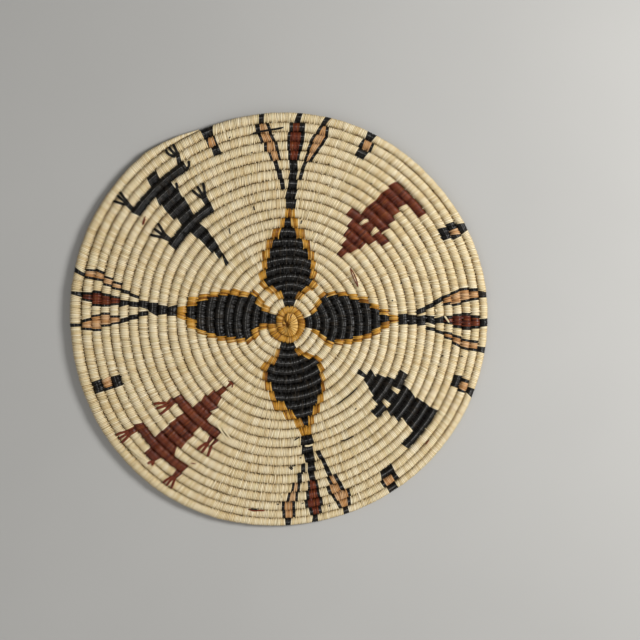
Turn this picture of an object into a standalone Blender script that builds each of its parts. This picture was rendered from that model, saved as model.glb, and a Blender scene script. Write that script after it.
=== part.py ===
"""Coiled plaque: one long coil of grass wound into a flat disc, with its runs of dyed stitching.

The disc lies flat, decorated side up. Angles are in degrees, anticlockwise from +X. Row 0 is the
outermost row. A row begins at END_ANGLE and goes inwards as its angle grows, so an angle past
END_ANGLE + 360 lies on the next row in.
"""

import math

import bpy
import numpy as np
from mathutils import Vector

FULL_TURN = 360.0
HALF_TURN_SHARE = 0.5

# Winding of the coil. Lengths are in metres.
TURNS = 23
STEPS_PER_TURN = 24
END_ANGLE = 115.0
START_RADIUS = 0.0043
START_PITCH = 0.00685
ROW_PITCH = 0.00895
EASING_POWER = 5
DRIFT_X = -0.0057
DRIFT_Y = 0.0056
START_OVAL = 0.0017
START_OVAL_POWER = 10
MIDDLE_OVAL = 0.00065

# Section of the coil: a hexagon that is flat above and below
ROW_GAP = 0.0006
START_HALF_WIDTH = 0.0012
END_HALF_WIDTH = 0.0013
START_TAPER_TURNS = 0.75
END_TAPER_TURNS = 2 / STEPS_PER_TURN
SECTION_HEIGHT_SHARE = 1.0
SECTION_FLAT_SHARE = 0.5
LEAST_SELF_GAP = 0.0004

# Dyed stitching that lies over the top of the coil. Its foot bites into the row inside it.
STITCH_CLEARANCE = 0.00035
STITCH_WALL = 0.0003
STITCH_FOOT_SHARE = 0.4
STITCH_OVERLAP = 0.00025
STITCH_FOOT_RISE = 0.00015
BEND_MARGIN = 0.0008
WELD_DISTANCE = STITCH_OVERLAP / 20

# Wrapped knot in the middle of the first turn
KNOT_RADIUS = 0.0031
KNOT_HEIGHT = 0.0056
KNOT_SIDE = 0.0013
KNOT_SIDE_ANGLE = 250.0
KNOT_SEGMENTS = 12
KNOT_RINGS = 6

# Colours of the finish: red, green and blue, linear
CREAM_COLOUR = (0.68, 0.58, 0.36)
BLACK_COLOUR = (0.018, 0.016, 0.015)
GOLD_COLOUR = (0.52, 0.26, 0.06)
RED_BROWN_COLOUR = (0.17, 0.035, 0.018)
PEACH_COLOUR = (0.68, 0.34, 0.15)
DYED_ROUGHNESS = 0.45
PLAIN_ROUGHNESS = 0.6

# Runs of stitching as (row, first angle, last angle), from the rim inwards
PETALS = {
    "petal_top": [
        (11, 449, 452.5), (12, 446, 455.5), (13, 440.5, 461.5), (14, 435, 465.3), (15, 430, 470),
        (16, 427, 474.7), (17, 422, 480), (18, 427, 472), (19, 435, 463), (20, 435, 465),
    ],
    "petal_left": [
        (12, 170, 177), (13, 165.5, 184), (14, 161, 187), (15, 157, 190.5), (16, 153, 193),
        (17, 150, 197), (18, 142, 200), (19, 150, 188), (20, 154, 180), (21, 150, 178),
    ],
    "petal_bottom": [
        (11, 278, 281), (12, 273.5, 285), (13, 268, 290.3), (14, 259.5, 297), (15, 255, 300),
        (16, 248, 303), (17, 245, 307), (18, 251, 296), (19, 252, 284), (20, 248, 285),
    ],
    "petal_right": [
        (11, 361, 365), (12, 357, 369.5), (13, 352.7, 375), (14, 350, 380), (15, 345.5, 387),
        (16, 343, 392.5), (17, 337, 398), (18, 341, 391), (19, 347, 383), (20, 347, 380),
    ],
}
PETAL_TIPS = {
    "petal_tip_top": [(10, 447, 452)],
    "petal_tip_left": [(11, 171, 177.5)],
    "petal_tip_bottom": [(10, 275.8, 281.8)],
    "petal_tip_right": [(10, 360.3, 364.5)],
}
STEMS = {
    "stem_top": [
        (5, 443.5, 445), (5, 446.8, 450), (5, 453.5, 455.2), (6, 444.8, 446.5), (6, 446.9, 450),
        (6, 452.3, 454.7), (7, 446.1, 450.3), (7, 451, 453.6), (8, 446.8, 451.6), (9, 446.7, 451.5),
    ],
    "stem_left": [
        (5, 168, 169.3), (5, 172, 174.2), (5, 178.5, 179.5), (6, 169, 170.9), (6, 172, 173.8),
        (6, 177.3, 178.8), (7, 170.5, 173.8), (7, 175.3, 177.6), (8, 171.3, 175.9),
        (9, 171.8, 176), (10, 171.5, 176.3),
    ],
    "stem_bottom": [
        (5, 273.3, 275), (5, 277, 279.7), (5, 284, 286), (6, 274.6, 276.3), (6, 276.8, 280.3),
        (6, 282.8, 285), (7, 275.9, 280.3), (7, 281, 283.6), (8, 275.7, 281.5), (9, 275.7, 281.7),
    ],
    "stem_right": [
        (5, 356, 357.4), (5, 360.3, 362.3), (5, 367.9, 369.8), (6, 357, 359.3), (6, 360, 363),
        (6, 366.2, 368.6), (7, 359, 363.5), (7, 364.2, 367), (8, 359.5, 364.9), (9, 359.5, 364.8),
    ],
}
MIDDLE_FEATHERS = {
    "feather_top_middle": [(1, 445.5, 449.3), (2, 445.8, 450), (3, 446, 450), (4, 446.6, 450)],
    "feather_left_middle": [(1, 170.9, 173.9), (2, 170.4, 174.5), (3, 170.6, 174.8), (4, 171.2, 173.8)],
    "feather_bottom_middle": [(1, 275.7, 280), (2, 275, 280.5), (3, 275.7, 280.3), (4, 276.5, 279.8)],
    "feather_right_middle": [(1, 358.5, 362.8), (2, 358.2, 363.2), (3, 358.5, 363.2), (4, 360, 363)],
}
SIDE_FEATHERS = {
    "feather_top_first": [(1, 439, 441.2), (2, 439.5, 442.5), (3, 440.5, 443.5), (4, 441.8, 444.2)],
    "feather_top_last": [(1, 455.5, 459.7), (2, 455.2, 459.2), (3, 454, 457.8), (4, 453.3, 455.8)],
    "feather_left_first": [(1, 164.7, 167.6), (2, 164.1, 167.4), (3, 165.3, 168.2), (4, 166.3, 168.5)],
    "feather_left_last": [(1, 178.7, 181.6), (2, 177.3, 182), (3, 176.9, 180.9), (4, 177.2, 180)],
    "feather_bottom_first": [(1, 268, 271.6), (2, 267.7, 272), (3, 269.5, 273), (4, 271, 273.8)],
    "feather_bottom_last": [(1, 285.5, 289.3), (2, 284, 290), (3, 283, 288.5), (4, 283.5, 287.5)],
    "feather_right_first": [(1, 351.7, 354.5), (2, 351.5, 354.8), (3, 352.2, 356), (4, 354, 356.8)],
    "feather_right_last": [(1, 367, 370.7), (2, 366.8, 371.2), (3, 366.5, 371), (4, 367, 370)],
}
BLACK_FIGURES = {
    "lizard_black": [
        (2, 123.3, 124.3), (2, 131.3, 134.8), (2, 143, 144.2), (3, 123.3, 144.7), (4, 130, 137),
        (5, 129.8, 137.3), (6, 130, 137.8), (7, 123.2, 125), (7, 130.7, 137), (7, 144.5, 146.5),
        (8, 123.3, 146.8), (9, 131.5, 137.2), (10, 131.3, 136.8), (11, 131.8, 137.3),
        (12, 133, 136.6), (13, 134, 136),
    ],
    "animal_head_black": [
        (3, 313.3, 329.6), (4, 319.3, 329.6), (5, 319.8, 329.8), (6, 318.3, 330.2), (7, 318, 331.5),
        (8, 313, 337), (9, 317.8, 332), (10, 320, 330.6), (11, 322, 329.5), (12, 324, 326.7),
    ],
    "rim_check_lower_right": [(0, 300.7, 303.7), (1, 300, 305.5), (2, 301, 305.8)],
    "rim_check_right_low": [(0, 338.3, 340.5), (1, 338.3, 342.5), (2, 339, 343)],
    "rim_check_right_high": [(0, 387.5, 390.2), (1, 387, 392), (2, 388, 392)],
    "rim_check_upper_right": [(0, 425.3, 427.7), (1, 424.5, 428.4), (2, 425.3, 428.5)],
    "rim_check_top": [(0, 471.5, 474.7), (1, 471.7, 474.5), (2, 471.7, 474)],
    "rim_check_left": [(1, 196.5, 200), (2, 196.5, 200.2), (3, 196.7, 200.3)],
}
RED_FIGURES = {
    "lizard_red": [
        (2, 213.5, 215), (2, 222, 225), (2, 232.5, 234), (3, 213.3, 234.5), (4, 220.2, 228.4),
        (5, 220.3, 229.2), (6, 220, 229.3), (7, 212.9, 215), (7, 220, 229), (7, 235.3, 237.8),
        (8, 212.9, 237.8), (9, 221, 229.5), (10, 221, 229), (11, 221.5, 228.3),
        (12, 223.3, 226.6), (13, 225, 226.6),
    ],
    "animal_head_red": [
        (3, 399, 413.6), (4, 406, 414), (5, 405.5, 414.8), (6, 404.5, 415.5), (7, 404, 416.5),
        (8, 399.5, 422), (9, 404, 419), (10, 406.3, 418.3), (11, 408, 416), (12, 411, 415.2),
    ],
}
START_STITCHING = {"start_stitching": [(21, 181, 770)]}


def clear_scene():
    """Removes whatever the scene holds."""
    for obj in list(bpy.data.objects):
        bpy.data.objects.remove(obj)


def material(name, colour, roughness):
    """A plain dyed or natural fibre finish."""
    made = bpy.data.materials.new(name)
    made.use_nodes = True
    shader = made.node_tree.nodes["Principled BSDF"]
    shader.inputs["Base Color"].default_value = (*colour, 1.0)
    shader.inputs["Roughness"].default_value = roughness
    shader.inputs["Metallic"].default_value = 0.0
    return made


def row_radius(turn, angle):
    """Distance from the coil's start to its middle line, that many turns out from the start."""
    share = turn / TURNS
    easing = (ROW_PITCH - START_PITCH) * TURNS / EASING_POWER * (1 - (1 - share) ** EASING_POWER)
    drift = share * (DRIFT_X * math.cos(angle) + DRIFT_Y * math.sin(angle))
    oval = START_OVAL * (1 - share) ** START_OVAL_POWER + MIDDLE_OVAL * 4 * share * (1 - share)
    return START_RADIUS + ROW_PITCH * turn - easing + drift - oval * math.cos(2 * angle)


def turn_angle(turn):
    """Angle of the middle line in radians. The coil winds clockwise on its way out."""
    return math.radians(END_ANGLE + FULL_TURN * (TURNS - turn))


def row_spacing(turn):
    """Distance between neighbouring rows, centre to centre."""
    angle = turn_angle(turn)
    return row_radius(turn + HALF_TURN_SHARE, angle) - row_radius(turn - HALF_TURN_SHARE, angle)


def half_width(turn):
    """Half of the coil's width, thin at the start and drawn to a point at the end."""
    full = row_spacing(turn) / 2 - ROW_GAP / 2
    from_start = min(turn / START_TAPER_TURNS, 1.0)
    from_end = min((TURNS - turn) / END_TAPER_TURNS, 1.0)
    width = START_HALF_WIDTH + (full - START_HALF_WIDTH) * from_start
    return END_HALF_WIDTH + (width - END_HALF_WIDTH) * from_end


def middle_line():
    """Points of the coil's middle line, every one with its half width, resting on Z = 0."""
    points, widths = [], []
    for step in range(TURNS * STEPS_PER_TURN + 1):
        turn = step / STEPS_PER_TURN
        angle = turn_angle(turn)
        width = half_width(turn)
        tucked_in = (row_spacing(turn) - ROW_GAP) / 2 - width if turn > TURNS - 1 else 0.0
        radius = row_radius(turn, angle) - tucked_in
        points.append(
            Vector((radius * math.cos(angle), radius * math.sin(angle), SECTION_HEIGHT_SHARE * width))
        )
        widths.append(width)
    return points, widths


def centred(points, widths):
    """The same points, moved so that the disc's box has its middle on the Z axis."""
    outer = []
    for point, width in zip(points, widths):
        flat = Vector((point.x, point.y))
        outer.append(flat + flat.normalized() * width)
    low = Vector((min(p.x for p in outer), min(p.y for p in outer), 0.0))
    high = Vector((max(p.x for p in outer), max(p.y for p in outer), 0.0))
    middle = (low + high) / 2
    return [point - middle for point in points], middle


def at_turn(line, turn):
    """Point and half width on the straight stretch of the coil that holds this turn."""
    points, widths = line
    place = min(max(turn, 0.0), TURNS) * STEPS_PER_TURN
    index = min(int(place), len(points) - 2)
    part = place - index
    return points[index].lerp(points[index + 1], part), widths[index] * (1 - part) + widths[index + 1] * part


def least_gap_to_itself(line):
    """Smallest space between one row and the next, measured on the points."""
    points, widths = line
    places = np.array([tuple(point.xy) for point in points])
    halves = np.array(widths)
    least = math.inf
    for index in range(len(places)):
        others = np.arange(index + STEPS_PER_TURN // 2, len(places))
        if len(others):
            apart = np.linalg.norm(places[others] - places[index], axis=1)
            least = min(least, float((apart - halves[others] - halves[index]).min()))
    return least


def section(name, corners):
    """A closed flat outline that a swept curve takes as its section."""
    data = bpy.data.curves.new(name, "CURVE")
    data.dimensions = "2D"
    spline = data.splines.new("POLY")
    spline.points.add(len(corners) - 1)
    spline.use_cyclic_u = True
    for point, (across, up) in zip(spline.points, corners):
        point.co = (across, up, 0.0, 1.0)
    return bpy.data.objects.new(name, data)


def swept(name, points, radii, outline):
    """A curve through the points that carries the outline, scaled by the radii."""
    data = bpy.data.curves.new(name, "CURVE")
    data.dimensions = "3D"
    data.twist_mode = "Z_UP"
    data.bevel_mode = "OBJECT"
    data.bevel_object = outline
    data.use_fill_caps = True
    spline = data.splines.new("POLY")
    spline.points.add(len(points) - 1)
    for target, point, radius in zip(spline.points, points, radii):
        target.co = (*point, 1.0)
        target.radius = radius
    return bpy.data.objects.new(name, data)


def as_mesh(curve_object, collection):
    """Turns a swept curve into a mesh object with its caps welded on."""
    graph = bpy.context.evaluated_depsgraph_get()
    mesh = bpy.data.meshes.new_from_object(curve_object.evaluated_get(graph))
    made = bpy.data.objects.new(curve_object.name + "_solid", mesh)
    made.matrix_world = curve_object.matrix_world
    weld = made.modifiers.new("weld_caps", "WELD")
    weld.merge_threshold = WELD_DISTANCE
    collection.objects.link(made)
    bpy.data.objects.remove(curve_object)
    return made


def coil_outline():
    """The coil's hexagon, at full width."""
    half = ROW_PITCH / 2
    flat, top = SECTION_FLAT_SHARE * half, SECTION_HEIGHT_SHARE * half
    corners = [(half, 0.0), (flat, -top), (-flat, -top), (-half, 0.0), (-flat, top), (flat, top)]
    return section("coil_section", corners)


def stitch_outline(name, coil_half, spacing, bites):
    """Section of a stitching run. Its +X side faces the plaque's middle."""
    flat, high = SECTION_FLAT_SHARE, SECTION_HEIGHT_SHARE
    lean = (1 - flat) / high
    inner = coil_half + STITCH_CLEARANCE
    outer = inner + STITCH_WALL
    foot = STITCH_FOOT_SHARE * high * coil_half
    corners = [(lean * foot - outer, foot), (-flat * outer, high * outer), (flat * outer, high * outer)]
    if bites:
        raised = foot + STITCH_FOOT_RISE
        reach = spacing - outer + lean * raised + STITCH_OVERLAP
        corners += [(reach, raised), (inner - lean * raised, raised)]
    else:
        corners += [(outer - lean * foot, foot), (inner - lean * foot, foot)]
    corners += [(flat * inner, high * inner), (-flat * inner, high * inner), (lean * foot - inner, foot)]
    return section(name, corners)


def make_coil(line, collection, guides, finish):
    """The whole coil as one unbroken tube."""
    points, widths = line
    outline = coil_outline()
    guides.objects.link(outline)
    coil = swept("coil", points, [width / (ROW_PITCH / 2) for width in widths], outline)
    coil.data.materials.append(finish)
    collection.objects.link(coil)
    return coil


def end_on_bend(turn):
    """The turn itself, or the coil's nearest bend where that is closer than BEND_MARGIN."""
    bend = round(turn * STEPS_PER_TURN) / STEPS_PER_TURN
    apart = abs(turn - bend) * math.tau * row_radius(turn, turn_angle(turn))
    return bend if apart < BEND_MARGIN else turn


def run_turns(innermost, outermost):
    """Turns where a run begins, bends and ends."""
    first, last = end_on_bend(innermost), end_on_bend(outermost)
    bends = range(math.ceil(first * STEPS_PER_TURN), math.floor(last * STEPS_PER_TURN) + 1)
    return sorted({first, last} | {bend / STEPS_PER_TURN for bend in bends})


def stitched_run(name, line, run, bites, guides):
    """One run of stitching over the coil, from its first angle to its last."""
    row, first, last = run
    outermost = TURNS - row - (first - END_ANGLE) / FULL_TURN
    innermost = TURNS - row - (last - END_ANGLE) / FULL_TURN
    turns = run_turns(innermost, outermost)
    middle = (innermost + outermost) / 2
    coil_half = at_turn(line, middle)[1]
    outline = stitch_outline(name + "_section", coil_half, row_spacing(middle), bites)
    guides.objects.link(outline)
    over = STITCH_CLEARANCE + STITCH_WALL
    places = [at_turn(line, turn) for turn in turns]
    radii = [(width + over) / (coil_half + over) for _, width in places]
    curve = swept(name, [point for point, _ in places], radii, outline)
    guides.objects.link(curve)
    return as_mesh(curve, guides)


def make_figure(name, line, runs, collection, guides, finish):
    """All runs of one figure: its first one, and a collection of the others."""
    last_row = max(row for row, _, _ in runs)
    solids = [
        stitched_run(f"{name}_{index}", line, run, run[0] < last_row, guides)
        for index, run in enumerate(runs)
    ]
    figure = solids[0]
    figure.name = name
    figure.data.materials.append(finish)
    guides.objects.unlink(figure)
    collection.objects.link(figure)
    others = bpy.data.collections.new(name + "_runs")
    guides.children.link(others)
    for solid in solids[1:]:
        guides.objects.unlink(solid)
        others.objects.link(solid)
    return figure, others


def join_runs(figure, others):
    """Joins a figure's runs, each of which bites into the row inside it."""
    if not others.objects:
        return
    union = figure.modifiers.new("join_runs", "BOOLEAN")
    union.operation = "UNION"
    union.solver = "EXACT"
    union.operand_type = "COLLECTION"
    union.collection = others


def make_knot(middle, collection, finish):
    """The wrapped knot that the coil starts round."""
    angle = math.radians(KNOT_SIDE_ANGLE)
    place = Vector((KNOT_SIDE * math.cos(angle), KNOT_SIDE * math.sin(angle), KNOT_HEIGHT / 2))
    bpy.ops.mesh.primitive_uv_sphere_add(
        segments=KNOT_SEGMENTS, ring_count=KNOT_RINGS, radius=KNOT_RADIUS, location=place - middle
    )
    knot = bpy.context.active_object
    knot.name = "start_knot"
    knot.scale.z = KNOT_HEIGHT / (2 * KNOT_RADIUS)
    bpy.ops.object.transform_apply(location=False, rotation=False, scale=True)
    knot.data.shade_smooth()
    knot.data.materials.append(finish)
    for owner in list(knot.users_collection):
        owner.objects.unlink(knot)
    collection.objects.link(knot)
    return knot


def hide_guides(guides):
    """Guides and joined runs don't show and aren't pieces."""
    guides.hide_render = True
    for guide in guides.all_objects:
        guide.hide_render = True
        guide.display_type = "WIRE"


def main():
    clear_scene()
    plaque = bpy.data.collections.new("coiled_plaque")
    guides = bpy.data.collections.new("plaque_guides")
    for collection in (plaque, guides):
        bpy.context.scene.collection.children.link(collection)
    cream = material("natural_fibre", CREAM_COLOUR, PLAIN_ROUGHNESS)
    black = material("black_fibre", BLACK_COLOUR, DYED_ROUGHNESS)
    gold = material("gold_fibre", GOLD_COLOUR, DYED_ROUGHNESS)
    red_brown = material("red_brown_fibre", RED_BROWN_COLOUR, DYED_ROUGHNESS)
    peach = material("peach_fibre", PEACH_COLOUR, DYED_ROUGHNESS)

    points, widths = middle_line()
    points, middle = centred(points, widths)
    line = (points, widths)
    gap = least_gap_to_itself(line)
    print(f"least gap of the coil to itself: {gap * 1000:.2f} mm")
    if gap <= LEAST_SELF_GAP:
        raise ValueError("the coil's rows touch")

    make_coil(line, plaque, guides, cream)
    make_knot(middle, plaque, gold)
    figures = (
        (START_STITCHING, gold), (PETALS, black), (PETAL_TIPS, gold), (STEMS, black),
        (MIDDLE_FEATHERS, red_brown), (SIDE_FEATHERS, peach), (BLACK_FIGURES, black),
        (RED_FIGURES, red_brown),
    )
    made = [
        make_figure(name, line, runs, plaque, guides, finish)
        for group, finish in figures
        for name, runs in group.items()
    ]
    for figure, others in made:
        join_runs(figure, others)
    hide_guides(guides)


main()
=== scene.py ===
"""Dresses the packed coiled plaque: the whole coil is sewn stitch by stitch along its spiral.

Lengths are in metres. Rows are counted from the rim inwards, starting with 0. A row begins at END_ANGLE and goes
inwards as its angle grows, anticlockwise from +X, so an angle past END_ANGLE + 360 lies on the next row in.
"""

import math
from functools import partial

import bpy
import numpy as np
from bpy.props import FloatProperty, FloatVectorProperty, IntProperty, PointerProperty
from bpy.types import Operator, Panel, PropertyGroup
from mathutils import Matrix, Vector


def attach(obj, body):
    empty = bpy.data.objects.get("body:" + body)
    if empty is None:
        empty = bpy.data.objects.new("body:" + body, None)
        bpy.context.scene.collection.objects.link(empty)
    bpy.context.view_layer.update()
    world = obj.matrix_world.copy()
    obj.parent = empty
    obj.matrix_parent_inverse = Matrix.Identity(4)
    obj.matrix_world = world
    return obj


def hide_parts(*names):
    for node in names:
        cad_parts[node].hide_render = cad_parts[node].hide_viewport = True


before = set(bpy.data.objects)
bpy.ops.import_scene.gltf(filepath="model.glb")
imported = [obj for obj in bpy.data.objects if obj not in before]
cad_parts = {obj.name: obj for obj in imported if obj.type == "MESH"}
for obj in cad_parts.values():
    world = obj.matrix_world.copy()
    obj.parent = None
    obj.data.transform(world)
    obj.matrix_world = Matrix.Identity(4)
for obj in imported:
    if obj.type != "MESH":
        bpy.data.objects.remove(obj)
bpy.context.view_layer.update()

bl_info = {
    "name": "Coiled plaque",
    "version": (1, 0, 0),
    "blender": (4, 5, 0),
    "location": "View3D > Sidebar > Plaque",
    "description": "Sews a coiled plaque with dyed figures on its packed frame",
    "category": "Object",
}

FULL_TURN = 360.0
END_ANGLE = 115.0
BODY = "root"
SIDES = ("top", "left", "bottom", "right")
RANDOM_SEED = 23

# Where the coil starts, in the plaque's frame
START_X = 0.00842
START_Y = -0.00282

# Petals as (row, gold from, black from, black to, gold to), with all four as angles. Where two neighbours are the same,
# the row has no stitches of that dye there.
PETALS = {
    "top": [
        (10, 447, 452, 452, 452), (11, 445, 449, 452.5, 455), (12, 440, 446, 455.5, 460.5),
        (13, 435, 440.5, 461.5, 466), (14, 429.5, 435, 465.3, 471.5), (15, 425.5, 430, 470, 475),
        (16, 420.5, 427, 474.7, 483), (17, 413, 422, 480, 487), (18, 419, 427, 472, 484), (19, 423, 435, 463, 475),
        (20, 435, 435, 465, 465),
    ],
    "left": [
        (11, 171, 177.5, 177.5, 177.5), (12, 164.5, 170, 177, 183), (13, 161, 165.5, 184, 187),
        (14, 157, 161, 187, 190.5), (15, 152, 157, 190.5, 194.5), (16, 147, 153, 193, 198.5),
        (17, 144, 150, 197, 202), (18, 136, 142, 200, 206), (19, 138, 150, 188, 204), (20, 141, 154, 180, 193),
        (21, 150, 150, 181, 181),
    ],
    "bottom": [
        (10, 275.8, 281.8, 281.8, 281.8), (11, 273.3, 278, 281, 284.5), (12, 267, 273.5, 285, 290),
        (13, 259, 268, 290.3, 295), (14, 255, 259.5, 296.5, 299.5), (15, 249, 255, 300, 304),
        (16, 243, 248, 303, 308.5), (17, 237, 245, 307, 312), (18, 241, 251, 296, 305), (19, 245, 252, 284, 295),
        (20, 248, 248, 285, 285),
    ],
    "right": [
        (10, 360.3, 364.5, 364.5, 364.5), (11, 357, 361, 365, 368.5), (12, 352.5, 357, 369.5, 373),
        (13, 349, 352.7, 375, 380), (14, 345, 350, 380, 385), (15, 340.5, 345.5, 387, 391),
        (16, 336.5, 343, 392.5, 397), (17, 329.5, 337, 398, 403), (18, 334, 341, 391, 399), (19, 338, 347, 383, 393),
        (20, 347, 347, 380, 380),
    ],
}

# Runs of dyed stitches as (row, first angle, last angle)
START = [(21, 181, 680)]
STEMS = {
    "top": [
        (5, 447, 449.9), (6, 446.9, 449.9), (7, 446.7, 450.3), (8, 446.8, 451.3), (9, 446.7, 451.5),
    ],
    "left": [
        (5, 172, 174), (6, 172, 173.9), (7, 171.1, 173.9), (8, 171.3, 175.8), (9, 171.8, 176), (10, 171.5, 176.3),
    ],
    "bottom": [
        (5, 277.4, 279.6), (6, 277.3, 280.3), (7, 276.6, 280.7), (8, 275.7, 280.8), (9, 275.7, 281.7),
    ],
    "right": [
        (5, 360.1, 362.5), (6, 359.9, 363.1), (7, 359.2, 363.4), (8, 359.5, 364), (9, 359.5, 364.8),
    ],
}

# Stalks beside the stems as (row, first angle, last angle, lean), with the lean in degrees inwards across the row
STALKS = {
    "top": [
        (5, 443.9, 445.2, 1.1), (6, 444.6, 446, 0.7), (5, 453.9, 455.4, -0.8), (6, 452.7, 454.6, -0.4),
        (7, 451.9, 453.7, -0.4),
    ],
    "left": [
        (5, 168.4, 169.7, 0.3), (6, 169.3, 170.4, 0.8), (5, 178.1, 179.7, -0.8), (6, 176.8, 178.6, -0.4),
        (7, 175.3, 177.1, -0.6),
    ],
    "bottom": [
        (5, 273.1, 274.7, 0.3), (6, 274.7, 276.4, 0.5), (5, 284, 285.7, -0.6), (6, 283.5, 285, -0.5),
        (7, 282.2, 284.1, -0.8),
    ],
    "right": [
        (5, 356.1, 357.3, 0.8), (6, 357.1, 358.5, 0.4), (5, 367.7, 369.6, -1.4), (6, 366.2, 368, -1.0),
        (7, 364.4, 366.7, -1.0),
    ],
}

# Feathers as (row, first edge, first side of the colour, last side of the colour, last edge, first lean, last lean)
FEATHERS = {
    "top_first": [
        (1, 438.4, 439.3, 440.6, 441.6, -0.3, 1.0), (2, 438.6, 439.5, 442.1, 443.1, 1.0, 1.2),
        (3, 439.8, 440.8, 442.9, 443.9, 1.5, 0.8), (4, 441.2, 442.3, 443.5, 444.4, 1.5, 0.8),
    ],
    "top_middle": [
        (1, 445.4, 446.9, 448.9, 449.9, 0, 0), (2, 445.3, 446.4, 449.6, 450.5, 0, 0.2),
        (3, 445.6, 446.7, 449.7, 450.6, 0.4, 0), (4, 446.3, 447.1, 449.5, 450.3, 0.4, 0),
    ],
    "top_last": [
        (1, 455.5, 456.4, 458.5, 459.8, -0.8, 0), (2, 454.8, 455.8, 458.3, 459.2, -1.5, -0.8),
        (3, 453.6, 454.6, 457.1, 458.1, -0.4, 0.3), (4, 453.1, 453.9, 456, 456.8, -0.6, -0.8),
    ],
    "left_first": [
        (1, 164.7, 165.3, 166.8, 167.5, -0.4, 0), (2, 164.2, 165, 166.7, 167.4, 0.6, 0),
        (3, 165.5, 166.1, 167.7, 168.4, 0.3, 0.2), (4, 166.4, 167.1, 168.3, 169, 0.2, 0.2),
    ],
    "left_middle": [
        (1, 171.2, 171.9, 173.1, 173.7, -0.2, 0.4), (2, 170.3, 171.1, 174.2, 174.9, 0, 0),
        (3, 170.7, 171.5, 174.1, 174.8, 0.2, -0.2), (4, 171, 171.7, 173.4, 174.1, 0.2, -0.4),
    ],
    "left_last": [
        (1, 178.7, 179.5, 181.2, 181.9, -0.7, 0.4), (2, 177.4, 178, 181.6, 182.3, -0.3, 0.2),
        (3, 176.6, 177.3, 180.3, 181, 0, 0), (4, 177.4, 178.1, 179.7, 180.3, 0, -0.3),
    ],
    "bottom_first": [
        (1, 268, 268.9, 271, 271.9, 0, 0.2), (2, 267.7, 268.6, 271, 271.9, 0.2, 0.2),
        (3, 269.4, 270.3, 272.1, 272.9, 0.8, 0.4), (4, 270.9, 271.7, 272.9, 273.8, 0.8, 0.6),
    ],
    "bottom_middle": [
        (1, 276.2, 277.2, 279, 279.9, -0.2, 0), (2, 275, 276, 279.7, 280.7, 0, 0.2),
        (3, 275.7, 276.7, 279.4, 280.2, 0.2, 0), (4, 276.6, 277.4, 279.4, 280.2, 0.3, 0),
    ],
    "bottom_last": [
        (1, 284.9, 285.9, 288.1, 289.1, -0.4, 0.6), (2, 284.1, 285, 289, 289.9, -0.6, 0.3),
        (3, 282.9, 284.1, 287.1, 288.4, -0.2, -0.3), (4, 284, 285.1, 286.5, 287.8, -0.6, -0.5),
    ],
    "right_first": [
        (1, 351.5, 352.3, 354, 354.8, 0, 0), (2, 351.5, 352.3, 354.2, 354.9, 0.3, 0.2),
        (3, 352.4, 353.3, 355.1, 355.9, 1.0, 0.5), (4, 354.3, 355.1, 356.1, 356.9, 0.5, 0.4),
    ],
    "right_middle": [
        (1, 358.4, 359.3, 361.7, 362.5, -0.2, 0.2), (2, 357.9, 359, 362.5, 363.4, 0, 0.2),
        (3, 358.4, 359.4, 362.5, 363.3, 0.3, 0), (4, 359.7, 360.5, 361.7, 362.8, 0.3, 0),
    ],
    "right_last": [
        (1, 367.1, 367.9, 369.8, 370.8, 0, 0.3), (2, 366.9, 367.7, 370.7, 371.5, -0.2, 0.2),
        (3, 366.1, 366.9, 370.3, 371.2, -0.3, -0.7), (4, 366.6, 367.6, 369.4, 370.4, -0.2, -0.5),
    ],
}
FEATHER_TIPS = {
    "top": [(0, 439, 440.5), (0, 446.6, 448.1), (0, 457, 458.4)],
    "left": [(0, 165.7, 166.8), (0, 171.5, 172.5), (0, 180, 180.9)],
    "bottom": [(0, 268.9, 270.5), (0, 276.8, 278.4), (0, 286.1, 287.7)],
    "right": [(0, 351.4, 353.1), (0, 359.1, 361.4), (0, 367.6, 369.4)],
}
RIM_CHECKS = {
    "lower_right": [(0, 300.7, 303.7), (1, 300, 301), (1, 304, 305.5), (2, 301, 305.8)],
    "right_low": [(0, 338.3, 340.5), (1, 338.3, 339), (1, 341.5, 342.5), (2, 339, 343)],
    "right_high": [(0, 387.5, 390.2), (1, 387, 388), (1, 389.8, 392), (2, 388, 392)],
    "upper_right": [(0, 425.3, 427.7), (1, 424.5, 425.3), (1, 427.5, 428.4), (2, 425.3, 428.5)],
    "top": [(0, 471.5, 474.7), (1, 471.7, 472.2), (1, 474, 474.5), (2, 471.7, 474)],
    "left": [(1, 196.5, 200), (2, 199.4, 200.2), (3, 196.7, 200.3)],
}
CHECK_MIDDLES = [
    (1, 301, 304), (1, 339, 341.5), (1, 388, 389.8), (1, 425.3, 427.5), (1, 472.2, 474), (2, 196.7, 199.4),
]
BLACK_LIZARD = [
    (2, 123.1, 124.4), (2, 131.3, 134.8), (2, 142.9, 144.3), (3, 123.2, 144.7), (4, 130, 137),
    (5, 129.8, 137.3), (6, 130, 137.8), (7, 122.9, 125.2), (7, 130.7, 137), (7, 143.9, 146.1),
    (8, 123.3, 146.8), (9, 131.5, 137.2), (10, 131.3, 136.8), (11, 131.8, 137.3),
    (12, 133, 136.6), (13, 134, 136),
]
RED_LIZARD = [
    (2, 213.4, 215.3), (2, 221.8, 225.9), (2, 232.4, 234.2), (3, 213.5, 234.5), (4, 220.2, 228.4),
    (5, 220.3, 229.2), (6, 220, 229.3), (7, 212.5, 215.3), (7, 220, 229), (7, 235.1, 236.5), (7, 237.2, 238.2),
    (8, 213, 237.8), (9, 221, 229.5), (10, 221, 229), (11, 221.5, 228.3),
    (12, 223.3, 226.6), (13, 225, 226.5),
]
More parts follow.
